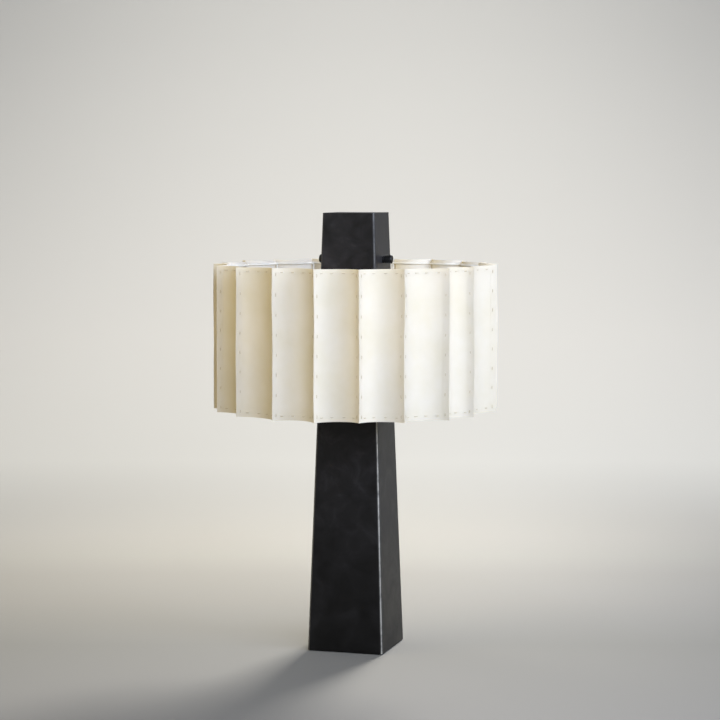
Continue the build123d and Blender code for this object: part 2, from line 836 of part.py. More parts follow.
for number in range(panel_count):
    middle, half_angle, arc_centre, arc_radius = flute_arc(number)
    front_x, front_y = seam_point(arc_radius, half_angle, arc_centre)
    rear_x, rear_y = seam_point(arc_radius + panel_thickness, half_angle, arc_centre)
    with BuildPart() as panel:
        with BuildSketch(Plane.XY.offset(shade_bottom).rotated((0, 0, middle))):
            with BuildLine():
                ThreePointArc(
                    (front_x, -front_y), (arc_centre - arc_radius, 0), (front_x, front_y)
                )
                Line((front_x, front_y), (rear_x, rear_y))
                ThreePointArc(
                    (rear_x, rear_y),
                    (arc_centre - arc_radius - panel_thickness, 0),
                    (rear_x, -rear_y),
                )
                Line((rear_x, -rear_y), (front_x, -front_y))
            make_face()
        extrude(amount=shade_height)
    save(panel, f"shade_panel_{number + 1:02d}")
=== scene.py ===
import random
from math import asin, atan2, cos, pi, radians, sin

import bmesh
import bpy
from mathutils import Matrix, Vector


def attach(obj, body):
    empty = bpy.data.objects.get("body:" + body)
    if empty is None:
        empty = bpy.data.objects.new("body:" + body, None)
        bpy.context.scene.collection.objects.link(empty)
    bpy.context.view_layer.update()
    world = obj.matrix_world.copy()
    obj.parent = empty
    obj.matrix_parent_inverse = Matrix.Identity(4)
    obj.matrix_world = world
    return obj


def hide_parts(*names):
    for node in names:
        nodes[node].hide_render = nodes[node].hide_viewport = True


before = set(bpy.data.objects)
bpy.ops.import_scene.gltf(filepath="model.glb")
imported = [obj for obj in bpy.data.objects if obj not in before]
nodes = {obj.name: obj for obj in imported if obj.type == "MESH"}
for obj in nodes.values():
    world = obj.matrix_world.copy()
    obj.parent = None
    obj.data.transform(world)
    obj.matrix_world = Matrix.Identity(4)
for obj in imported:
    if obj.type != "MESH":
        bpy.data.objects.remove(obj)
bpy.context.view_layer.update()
print("frame loaded:", len(nodes), "nodes")


def selectOnly(*pieces):
    bpy.ops.object.select_all(action="DESELECT")
    for piece in pieces:
        piece.select_set(True)
    bpy.context.view_layer.objects.active = pieces[-1]


def startEdit(piece, kind="FACE"):
    # opens a piece for editing with nothing selected
    selectOnly(piece)
    bpy.ops.object.mode_set(mode="EDIT")
    bpy.ops.mesh.select_mode(type=kind)
    bpy.ops.mesh.select_all(action="DESELECT")


def endEdit():
    bpy.ops.object.mode_set(mode="OBJECT")


def pickFaces(piece, wanted):
    # selects just the faces whose centre and normal pass the test
    shape = bmesh.from_edit_mesh(piece.data)
    for face in shape.faces:
        face.select_set(False)
    for face in [f for f in shape.faces if wanted(f.calc_center_median(), f.normal)]:
        face.select_set(True)
    shape.select_flush_mode()
    bmesh.update_edit_mesh(piece.data)


def applyModifier(piece, kind, **settings):
    selectOnly(piece)
    modifier = piece.modifiers.new(kind.title(), kind)
    for name, value in settings.items():
        setattr(modifier, name, value)
    bpy.ops.object.modifier_apply(modifier=modifier.name)


def settle(piece):
    # puts a piece's place into its mesh
    selectOnly(piece)
    bpy.ops.object.transform_apply(location=True, rotation=True, scale=True)


def smooth(piece, angle):
    selectOnly(piece)
    bpy.ops.object.shade_smooth_by_angle(angle=radians(angle))


def linear(hexColour):
    # an sRGB hex colour as the linear values that a shader socket takes
    values = [int(hexColour[i:i + 2], 16) / 255 for i in (1, 3, 5)]
    return tuple(v / 12.92 if v <= 0.04045 else ((v + 0.055) / 1.055) ** 2.4 for v in values) + (1,)


def addNode(material, kind, inputs=None, stops=(), **settings):
    # inputs holds a value or another node's output for each socket; stops are a colour ramp's
    node = material.node_tree.nodes.new("ShaderNode" + kind)
    for _ in stops[2:]:
        node.color_ramp.elements.new(0.5)
    for i, (where, colour) in enumerate(stops):
        node.color_ramp.elements[i].position = where
        node.color_ramp.elements[i].color = linear(colour)
    for name, value in settings.items():
        setattr(node, name, value)
    for name, value in (inputs or {}).items():
        if isinstance(value, bpy.types.NodeSocket):
            material.node_tree.links.new(value, node.inputs[name])
        else:
            node.inputs[name].default_value = value
    return node


def startMaterial(name):
    material = bpy.data.materials.new(name)
    material.use_nodes = True
    material.node_tree.nodes.clear()
    return material


def paint(material, *names):
    # gives CAD nodes a material
    for name in names:
        piece = nodes[name]
        piece.data.materials.clear()
        piece.data.materials.append(material)


cameraSettings = {
    "azimuth": 16.65,  # degrees from the front (-Y) towards +X
    "distance": 3.272,
    "height": 0.7026,
    "pitch": 4.75,  # degrees that it looks down
    "sideways": 0.00594,
    "lens": 110.2,
    "sensor": 36,
}
turn = radians(cameraSettings["azimuth"])
cameraData = bpy.data.cameras.new("camera")
cameraData.lens = cameraSettings["lens"]
cameraData.sensor_width = cameraSettings["sensor"]
camera = bpy.data.objects.new("camera", cameraData)
camera.location = (
    cameraSettings["distance"] * sin(turn) + cameraSettings["sideways"] * cos(turn),
    -cameraSettings["distance"] * cos(turn) + cameraSettings["sideways"] * sin(turn),
    cameraSettings["height"],
)
camera.rotation_euler = (radians(90 - cameraSettings["pitch"]), 0, turn)
bpy.context.scene.collection.objects.link(camera)
bpy.context.scene.camera = camera
bpy.context.scene.view_settings.view_transform = "Standard"
print("camera set")

floorSettings = {
    "halfWidth": 4.0,
    "front": -4.0,
    "bendStart": 1.2,
    "bendRadius": 2.2,
    "bendSteps": 24,
    "wallTop": 4.5,
    "smoothAngle": 40,
    "roughness": 0.9,
    # how far behind the lamp's foot each tone lies; the tones are painted shade, darkest just in
    # front of and round the lamp's foot to deepen its shadow, and paler towards the wall, standing
    # in for how the light falls off
    "tones": (
        (-3.4, "#dedbd5"),
        (-0.9, "#686664"),
        (0.0, "#6c6b67"),
        (0.6, "#92908c"),
        (1.2, "#c0beb9"),
        (1.7, "#e1dfd9"),
        (2.3, "#e0ddd7"),
        (3.1, "#d2d0cb"),
    ),
}


def makeBackdrop():
    # a paper sweep: flat on the floor, then a quarter bend, then up
    look = floorSettings
    bpy.ops.object.select_all(action="DESELECT")
    bpy.ops.mesh.primitive_plane_add(size=1, location=(0, 0, 0))
    sweep = bpy.context.object
    sweep.name = "backdrop"
    sweep.scale = (2 * look["halfWidth"], look["bendStart"] - look["front"], 1)
    sweep.location.y = (look["bendStart"] + look["front"]) / 2
    settle(sweep)
    startEdit(sweep, "EDGE")
    shape = bmesh.from_edit_mesh(sweep.data)
    farEdge = max(shape.edges, key=lambda edge: sum(vertex.co.y for vertex in edge.verts))
    farEdge.select_set(True)
    bmesh.update_edit_mesh(sweep.data)
    bpy.ops.mesh.spin(
        steps=look["bendSteps"],
        angle=-pi / 2,
        center=(0, look["bendStart"], look["bendRadius"]),
        axis=(1, 0, 0),
    )
    rise = look["wallTop"] - look["bendRadius"]
    bpy.ops.mesh.extrude_region_move(TRANSFORM_OT_translate={"value": (0, 0, rise)})
    endEdit()
    sweep.data.transform(Matrix.Rotation(turn, 4, "Z"))
    smooth(sweep, look["smoothAngle"])

    material = startMaterial("paperSweepPaintedShade")  # background paper: quite matt
    coords = addNode(material, "TexCoord")
    # painted light and shade: its tone grows paler from the floor in front of the lamp to the wall
    # behind it, standing in for light that falls off towards the camera
    turned = addNode(
        material, "Mapping", {"Vector": coords.outputs["Object"], "Rotation": (0, 0, -turn)}
    )
    axes = addNode(material, "SeparateXYZ", {"Vector": turned.outputs["Vector"]})
    nearest, farthest = look["tones"][0][0], look["tones"][-1][0]
    depth = addNode(
        material,
        "MapRange",
        {"Value": axes.outputs["Y"], "From Min": nearest, "From Max": farthest},
    )
    tones = [((y - nearest) / (farthest - nearest), tone) for y, tone in look["tones"]]
    colour = addNode(material, "ValToRGB", {"Fac": depth.outputs["Result"]}, stops=tones)
    shader = addNode(
        material,
        "BsdfPrincipled",
        {"Base Color": colour.outputs["Color"], "Roughness": look["roughness"]},
    )
    addNode(material, "OutputMaterial", {"Surface": shader.outputs[0]})
    sweep.data.materials.append(material)
    return sweep


backdropOnly = bpy.data.collections.new("backdropOnly")
backdropOnly.objects.link(makeBackdrop())

lightSettings = {
    # place and aim are metres right, back and up from the lamp's foot, as the camera sees it
    "frontWindow": {
        "kind": "AREA", "place": (0.62, -2.12, 1.32), "aim": (0, 0, 0.38),
        "size": 1.3, "power": 50.5, "colour": "#dce8ff",
    },
    "sideWindow": {
        "kind": "AREA", "place": (1.85, -1.14, 1.39), "aim": (0, 0, 0.38),
        "size": 1.3, "power": 44, "colour": "#dce8ff",
    },
    "leftCard": {
        "kind": "AREA", "place": (-1.98, -0.86, 1.43), "aim": (0, 0, 0.38),
        "size": 1.4, "power": 20, "colour": "#ffeebf",
    },
    # two spots light the backdrop alone, so that they don't bleach the back of the shade
    "wallWash": {
        "kind": "SPOT", "place": (0.1, 1.4, 2.6), "aim": (0, 2.35, 0.2),
        "size": 0.6, "power": 175, "colour": "#fffdf8", "cone": 122, "blend": 1.0,
        "backdropOnly": True,
    },
    "floorWindow": {
        "kind": "SPOT", "place": (0.95, 2.45, 1.8), "aim": (-0.7, -0.7, 0),
        "size": 0.5, "power": 640, "colour": "#fffaee", "cone": 52, "blend": 0.9,
        "backdropOnly": True,
    },
    "backWindow": {
        "kind": "SPOT", "place": (0.95, 2.45, 1.8), "aim": (0, 0, 0.4),
        "size": 0.5, "power": 300, "colour": "#fbfbff", "cone": 30, "blend": 0.9,
    },
    "backCard": {
        "kind": "SPOT", "place": (-1.8, 1.5, 1.5), "aim": (0, 0, 0.4),
        "size": 0.8, "power": 90, "colour": "#fffaf2", "cone": 32, "blend": 0.9,
    },
}
worldSettings = {"colour": "#d6d5d1", "strength": 0.08}
asCameraSees = Matrix.Rotation(turn, 4, "Z")
for name, look in lightSettings.items():
    light = bpy.data.lights.new(name, look["kind"])
    light.energy = look["power"]
    light.color = linear(look["colour"])[:3]
    if look["kind"] == "AREA":
        light.size = look["size"]
    else:
        light.shadow_soft_size = look["size"]
        light.spot_size = radians(look["cone"])
        light.spot_blend = look["blend"]
    holder = bpy.data.objects.new(name, light)
    holder.location = asCameraSees @ Vector(look["place"])
    away = holder.location - asCameraSees @ Vector(look["aim"])
    holder.rotation_euler = away.to_track_quat("Z", "Y").to_euler()
    holder.visible_camera = False
    bpy.context.scene.collection.objects.link(holder)
    if look.get("backdropOnly"):
        holder.light_linking.receiver_collection = backdropOnly

# the pale room is seen and mirrored at full strength, and lights the lamp only faintly
world = bpy.data.worlds.new("studio")
world.use_nodes = True
rays = addNode(world, "LightPath")
shown = addNode(
    world,
    "Math",
    {0: rays.outputs["Is Camera Ray"], 1: rays.outputs["Is Glossy Ray"]},
    operation="MAXIMUM",
)
shown = addNode(
    world,
    "Math",
    {0: shown.outputs[0], 1: rays.outputs["Is Transmission Ray"]},
    operation="MAXIMUM",
)
strength = addNode(
    world, "MapRange", {"Value": shown.outputs[0], "To Min": worldSettings["strength"]}
)
background = world.node_tree.nodes["Background"]
background.inputs["Color"].default_value = linear(worldSettings["colour"])
world.node_tree.links.new(strength.outputs["Result"], background.inputs["Strength"])
bpy.context.scene.world = world
print("light and floor set")

paper = {
    "outside": ("#ebe3cf", "#f1eadc"),
    # the inside is drawn paler, partly as a painted highlight for the light that falls inside the
    # shade
    "inside": ("#f4f2ec", "#faf8f4"),
    "through": "#f4e4b0",
    "throughShare": 0.25,
    "cloudSize": 0.045,
    "fibreSize": 0.0015,  # real fibres are finer, and this is the finest that shows
    "roughness": 0.82,
}


def makeParchment(name, tones):
    # parchment paper: matt and slightly cloudy, with fine fibres, and it lets warm light through
    material = startMaterial(name)
    coords = addNode(material, "TexCoord")
    cloud = addNode(
        material,
        "TexNoise",
        {
            "Vector": coords.outputs["Object"],
            "Scale": 1 / paper["cloudSize"],
            "Detail": 3,
            "Roughness": 0.6,
        },
    )
    colour = addNode(
        material,
        "ValToRGB",
        {"Fac": cloud.outputs["Fac"]},
        stops=((0.3, tones[0]), (0.7, tones[1])),
    )
    fibre = addNode(
        material,
        "TexNoise",
        {
            "Vector": coords.outputs["Object"],
            "Scale": 1 / paper["fibreSize"],
            "Detail": 2,
            "Roughness": 0.7,
        },
    )
    bump = addNode(
        material, "Bump", {"Height": fibre.outputs["Fac"], "Strength": 0.25, "Distance": 0.0002}
    )
    surface = addNode(
        material,
        "BsdfPrincipled",
        {
            "Base Color": colour.outputs["Color"],
            "Roughness": paper["roughness"],
            "Normal": bump.outputs["Normal"],
            "Specular IOR Level": 0.3,
        },
    )
    through = addNode(
        material,
        "BsdfTranslucent",
        {"Color": linear(paper["through"]), "Normal": bump.outputs["Normal"]},
    )
    shader = addNode(
        material,
        "MixShader",
        {"Fac": paper["throughShare"], 1: surface.outputs[0], 2: through.outputs[0]},
    )
    addNode(material, "OutputMaterial", {"Surface": shader.outputs[0]})
    return material


parchment = makeParchment("parchmentPaper", paper["outside"])
# the side towards the bulbs is coated white, which throws more light out, and it is drawn paler
# still as a painted highlight for the light that falls inside the shade
paleInside = makeParchment("paleInsideParchment", paper["inside"])

shade = {
    "panels": 20,
    "bottom": 0.359,
    "height": 0.215,
    "radius": 0.212,
    "fluteDepth": 0.018,
    # degrees that each hand-set seam stands off even spacing
    "seamShifts": {
        0: 0.6, 2: -0.6, 3: 1.4, 4: -2.4, 5: 2.0, 6: 3.0, 7: 1.5,
        16: -0.5, 17: -2.9, 18: -1.5, 19: 0.8,
    },
    "seamGap": 0.00012,
    "thickness": 0.0009,
    "hem": 0.0092,
    "hemRise": 0.0003,
    "waviness": 0.0022,
    "waveSize": 0.09,
    "smoothAngle": 35,
    # the mesh: its columns' width, and its rows' usual and least height
    "columnWidth": 0.0013,
    "rowHeight": 0.0055,
    "leastRow": 0.0004,
}
stitch = {
    "fromEdge": 0.0061,  # middle of the stitch line, in from the paper's edge
    "length": 0.0052,  # from hole to hole, outside to outside
    "hole": 0.0015,
    "holeShare": 0.45,  # how far off a hole's middle a face may lie and be punched out
    "upright": 8,
    "firstBelowTop": 0.009,
    "lastAboveBottom": 0.008,
    "across": 4,
    "gather": 0.16,  # how much the stitches across draw in towards the middle
    "tilt": 5,  # degrees that a hand-made stitch may lean
    "seed": 7,
    "thread": 0.0008,
    "threadSides": 6,
    "smoothAngle": 60,
    "intoHole": 0.3,  # share of a hole that the thread stays clear of
    # the thread's way: metres out of the paper, share of the half length, change in width
    "start": (-0.0009, -0.96, 0.8),
    "route": (
        (-0.0001, -1, 1.2),
        (0.0004, -0.6, 1.1),
        (0.0005, 0, 1.0),
        (0.0004, 0.6, 1.0),
        (-0.0001, 1, 0.9),
        (-0.0009, 0.96, 0.8),
    ),
}
seamAngles = [
    -90 + 360 / shade["panels"] * number + shade["seamShifts"].get(number, 0)
    for number in range(shade["panels"])
]
shadeTop = shade["bottom"] + shade["height"]
holeOffset = (stitch["length"] - stitch["hole"]) / 2  # from a stitch's middle to its holes
stitchLevels = (shade["bottom"] + stitch["fromEdge"], shadeTop - stitch["fromEdge"])
stitchedHeight = shade["height"] - stitch["firstBelowTop"] - stitch["lastAboveBottom"]
uprightHeights = [
    shadeTop - stitch["firstBelowTop"] - i * stitchedHeight / (stitch["upright"] - 1)
    for i in range(stitch["upright"])
]


def fluteArc(number):
    # the middle angle and half sweep of a flute, and its arc's centre distance and radius
    pitch = (seamAngles[(number + 1) % shade["panels"]] - seamAngles[number]) % 360
    halfAngle = radians(pitch / 2)
    chordHalf = shade["radius"] * sin(halfAngle)
    radius = (chordHalf**2 + shade["fluteDepth"] ** 2) / (2 * shade["fluteDepth"])
    distance = shade["radius"] * cos(halfAngle) - shade["fluteDepth"] + radius
    sweep = asin(chordHalf / radius) - shade["seamGap"] / radius
    return seamAngles[number] + pitch / 2, sweep, distance, radius


def rowHeights():
    # the heights of the sheet's rows: hems, holes, and even steps between them
    cuts = {shade["bottom"], shadeTop, shade["bottom"] + shade["hem"], shadeTop - shade["hem"]}
    middles = list(stitchLevels)
    for level in uprightHeights:
        middles += [level - holeOffset, level + holeOffset]
    for middle in middles:
        cuts |= {middle - stitch["hole"] / 2, middle + stitch["hole"] / 2}
    cuts = sorted(cuts)
    kept = [cuts[0]]
    for cut in cuts[1:]:
        if cut - kept[-1] > shade["leastRow"]:
            kept.append(cut)
    rows = [kept[0]]
    for low, high in zip(kept, kept[1:]):
        steps = max(1, round((high - low) / shade["rowHeight"]))
        rows += [low + (high - low) * (i + 1) / steps for i in range(steps)]
    return rows


sheetRows = rowHeights()


def makePanel(number):
    middle, sweep, distance, radius = fluteArc(number)
    centre = Vector((distance * cos(radians(middle)), distance * sin(radians(middle)), 0))
    back = radians(middle) + pi  # from the arc's centre towards the lamp's axis
    steps = 2 * round(sweep * radius / shade["columnWidth"])
    width = 2 * sweep * radius
    column = width / steps
    start = centre + Vector((cos(back - sweep), sin(back - sweep), 0)) * radius

    # a speck of a plane, merged to one point, drawn up row by row and spun about the flute's centre
    speck = 0.001
    bpy.ops.object.select_all(action="DESELECT")
    bpy.ops.mesh.primitive_plane_add(size=speck, location=start + Vector((0, 0, sheetRows[0])))
    panel = bpy.context.object
    panel.name = f"paper_panel_{number + 1:02d}"
    settle(panel)
    startEdit(panel, "VERT")
    bpy.ops.mesh.select_all(action="SELECT")
    bpy.ops.mesh.merge(type="CENTER")
    for low, high in zip(sheetRows, sheetRows[1:]):
        bpy.ops.mesh.extrude_region_move(TRANSFORM_OT_translate={"value": (0, 0, high - low)})
    bpy.ops.mesh.select_all(action="SELECT")
    bpy.ops.mesh.spin(steps=steps, angle=-2 * sweep, center=centre, axis=(0, 0, 1))
    bpy.ops.mesh.select_mode(type="FACE")

    def along(point):
        # distance along the sheet from its first edge, and the radius from the flute's centre
        offset = Vector((point.x - centre.x, point.y - centre.y))
        angle = (atan2(offset.y, offset.x) - back + pi) % (2 * pi) - pi
        return (angle + sweep) * radius, offset.length

    # stitches up both sides, then along the bottom and the top
    stitchPlaces = []
    inset = (int(stitch["fromEdge"] / column) + 0.5) * column
    for spot in (inset, width - inset):
        stitchPlaces += [(spot, height, True) for height in uprightHeights]
    halfway = (stitch["across"] - 1) / 2
    for level in stitchLevels:
        for i in range(stitch["across"]):
            spot = width * (i + 0.5 + stitch["gather"] * (halfway - i)) / stitch["across"]
            stitchPlaces.append(((int(spot / column) + 0.5) * column, level, False))
    # two punched holes for each
    aside = round(stitch["length"] / 2 / column - 0.5) * column
    holes = []
    for spot, height, upright in stitchPlaces:
        for side in (-1, 1):
            if upright:
                holes.append((spot, height + side * holeOffset))
            else:
                holes.append((spot + side * aside, height))

    def isHole(point, normal):
        spot, _ = along(point)
        reach, rise = column * stitch["holeShare"], stitch["hole"] * stitch["holeShare"]
        return any(abs(spot - x) < reach and abs(point.z - z) < rise for x, z in holes)

    pickFaces(panel, isHole)
    bpy.ops.mesh.delete(type="FACE")
    # the concave side faces out
    shape = bmesh.from_edit_mesh(panel.data)
    shape.faces.ensure_lookup_table()
    first = shape.faces[0]
    towards = centre - first.calc_center_median()
    if first.normal.x * towards.x + first.normal.y * towards.y < 0:
        bpy.ops.mesh.select_all(action="SELECT")
        bpy.ops.mesh.flip_normals()
    endEdit()
    panel.data.materials.append(parchment)
    panel.data.materials.append(paleInside)
    applyModifier(
        panel, "SOLIDIFY", thickness=shade["thickness"], offset=-1, material_offset=1
    )

    # the folded hem stands a little proud round all four edges
    startEdit(panel)

    def isHem(point, normal):
        spot, reach = along(point)
        inHem = (
            min(spot, width - spot) < shade["hem"]
            or point.z < shade["bottom"] + shade["hem"]
            or point.z > shadeTop - shade["hem"]
        )
        outwards = (centre.x - point.x) * normal.x + (centre.y - point.y) * normal.y
        return inHem and reach < radius + shade["thickness"] / 4 and outwards > 0.5 * reach

    pickFaces(panel, isHem)
    bpy.ops.mesh.extrude_region_shrink_fatten(
        TRANSFORM_OT_shrink_fatten={"value": shade["hemRise"]}
    )
    endEdit()

    # a flat map of the sheet in metres
    flat = panel.data.uv_layers.new(name="sheet")
    for loop in panel.data.loops:
        point = panel.data.vertices[loop.vertex_index].co
        flat.data[loop.index].uv = (along(point)[0], point.z - shade["bottom"])
    return panel, centre, back - sweep, radius, stitchPlaces


def makeStitchShape():
    # one stitch along Z: it rises from one hole, lies on the paper and dips into the next
    half = stitch["length"] / 2 - stitch["hole"] * stitch["intoHole"]
    out, along, size = stitch["start"]
    here = Vector((0, out, half * along))
    bpy.ops.object.select_all(action="DESELECT")
    bpy.ops.mesh.primitive_circle_add(
        vertices=stitch["threadSides"], radius=stitch["thread"] / 2 * size, location=here
    )
    thread = bpy.context.object
    settle(thread)
    startEdit(thread, "VERT")
    bpy.ops.mesh.select_all(action="SELECT")
    for out, along, size in stitch["route"]:
        there = Vector((0, out, half * along))
        bpy.ops.mesh.extrude_region_move(TRANSFORM_OT_translate={"value": there - here})
        bpy.ops.transform.resize(value=(size, 1, 1))
        here = there
    endEdit()
    smooth(thread, stitch["smoothAngle"])
    return thread


threadShape = makeStitchShape()
random.seed(stitch["seed"])
stitches = []
panels = []
for number in range(shade["panels"]):
    panel, centre, firstAngle, radius, stitchPlaces = makePanel(number)
    panels.append(panel)
    for spot, height, upright in stitchPlaces:
        angle = firstAngle + spot / radius
        outwards = -Vector((cos(angle), sin(angle), 0))
        surface = centre - outwards * (radius - shade["hemRise"])
        matrix = Matrix.Translation(surface + Vector((0, 0, height)))
        matrix = matrix @ Matrix.Rotation(atan2(outwards.y, outwards.x) - pi / 2, 4, "Z")
        if not upright:
            matrix = matrix @ Matrix.Rotation(pi / 2, 4, "Y")
        lean = radians(random.uniform(-stitch["tilt"], stitch["tilt"]))
        matrix = matrix @ Matrix.Rotation(lean, 4, "Y")
        copy = threadShape.copy()
        copy.data = threadShape.data.copy()
        copy.data.transform(matrix)
        bpy.context.scene.collection.objects.link(copy)
        stitches.append(copy)
bpy.data.objects.remove(threadShape)
selectOnly(*stitches)
bpy.ops.object.join()
shadeStitches = bpy.context.object
shadeStitches.name = "shade_stitches"

# hand-cut paper is never quite flat, and the stitches go with it
waves = bpy.data.textures.new("paperWave", "CLOUDS")
waves.noise_scale = shade["waveSize"]
waves.cloud_type = "COLOR"
waves.noise_depth = 1
for piece in panels + [shadeStitches]:
    applyModifier(
        piece,
        "DISPLACE",
        texture=waves,
        texture_coords="LOCAL",
        direction="RGB_TO_XYZ",
        mid_level=0.5,
        strength=shade["waviness"],
    )
    smooth(piece, shade["smoothAngle"])
print("paper panels and stitches made")

linen = {
    "dark": "#c6b58d",
    "light": "#dccdaa",
    "twist": 0.0006,  # length of one turn of the strands
    "roughness": 0.6,
}


def makeThread():
    # waxed linen thread: twisted, slightly shiny, darker than the paper
    material = startMaterial("waxedLinenThread")
    coords = addNode(material, "TexCoord")
    twist = addNode(
        material,
        "TexNoise",
        {"Vector": coords.outputs["Object"], "Scale": 1 / linen["twist"], "Detail": 1},
    )
    colour = addNode(
        material,
        "ValToRGB",
        {"Fac": twist.outputs["Fac"]},
        stops=((0.35, linen["dark"]), (0.65, linen["light"])),
    )
    bump = addNode(
        material, "Bump", {"Height": twist.outputs["Fac"], "Strength": 0.4, "Distance": 0.0002}
    )
    shader = addNode(
        material,
        "BsdfPrincipled",
        {
            "Base Color": colour.outputs["Color"],
            "Roughness": linen["roughness"],
            "Normal": bump.outputs["Normal"],
        },
    )
    addNode(material, "OutputMaterial", {"Surface": shader.outputs[0]})
    return material


for number, panel in enumerate(panels):
    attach(panel, "lamp")
    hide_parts(f"shade_panel_{number + 1:02d}")
shadeStitches.data.materials.append(makeThread())
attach(shadeStitches, "lamp")
print("paper painted")

steel = {
    "dark": "#0d0d0e",
    "light": "#1f1e20",
    "scuff": "#302f31",
    "cloudSize": 0.035,
    "wearSize": 0.015,
    "sanderLine": (0.0016, 0.06),  # width and length; real grit lines are too fine to show
    "chamfer": 0.0028,
    "cornerFade": (0.0008, 0.0001),  # how far before the flat its wear and painted highlight start and are full
    "highlightLineFade": 0.0007,
    "litSideFrom": 0.02,  # how far off the middle the painted highlight on the right-hand corners is full
    "bareMetal": 0.85,
    # the height up to which the foot is drawn darker, as painted shade
    "footShadeHeight": 0.4,
    "topDust": 0.4,  # how much rougher dust makes the flat top
}
columnSteel = {
    "foot": 0.0015,
    "top": 0.570,
    "footHalf": 0.058,
    "topHalf": 0.0394,
    # the corner flat's colour: bare metal, drawn pale as a painted highlight
    "corner": "#bdbab2",
    "highlightLine": 0.0011,  # half the width of the painted highlight line on a corner
    "gloss": 0.34,
    "footShade": 0.85,  # how much darker the foot is drawn, as painted shade
    "seed": 0.0,
}
hoodSteel = {
    "foot": 0.556,
    "top": 0.650,
    "outside": 0.00275,  # how far the hood stands outside the column
    "topHalf": 0.03965,
    # the corner flat's colour: bare metal, drawn pale as a painted highlight
    "corner": "#4b4a48",
    "highlightLine": 0.0013,
    "gloss": 0.28,
    "footShade": 0.85,
    "seed": 0.31,
}
columnSteel["slope"] = (columnSteel["footHalf"] - columnSteel["topHalf"]) / (
    columnSteel["top"] - columnSteel["foot"]
)
hoodSteel["footHalf"] = (
    columnSteel["footHalf"]
    - columnSteel["slope"] * (hoodSteel["foot"] - columnSteel["foot"])
    + hoodSteel["outside"]
)
hoodSteel["slope"] = (hoodSteel["footHalf"] - hoodSteel["topHalf"]) / (
    hoodSteel["top"] - hoodSteel["foot"]
)


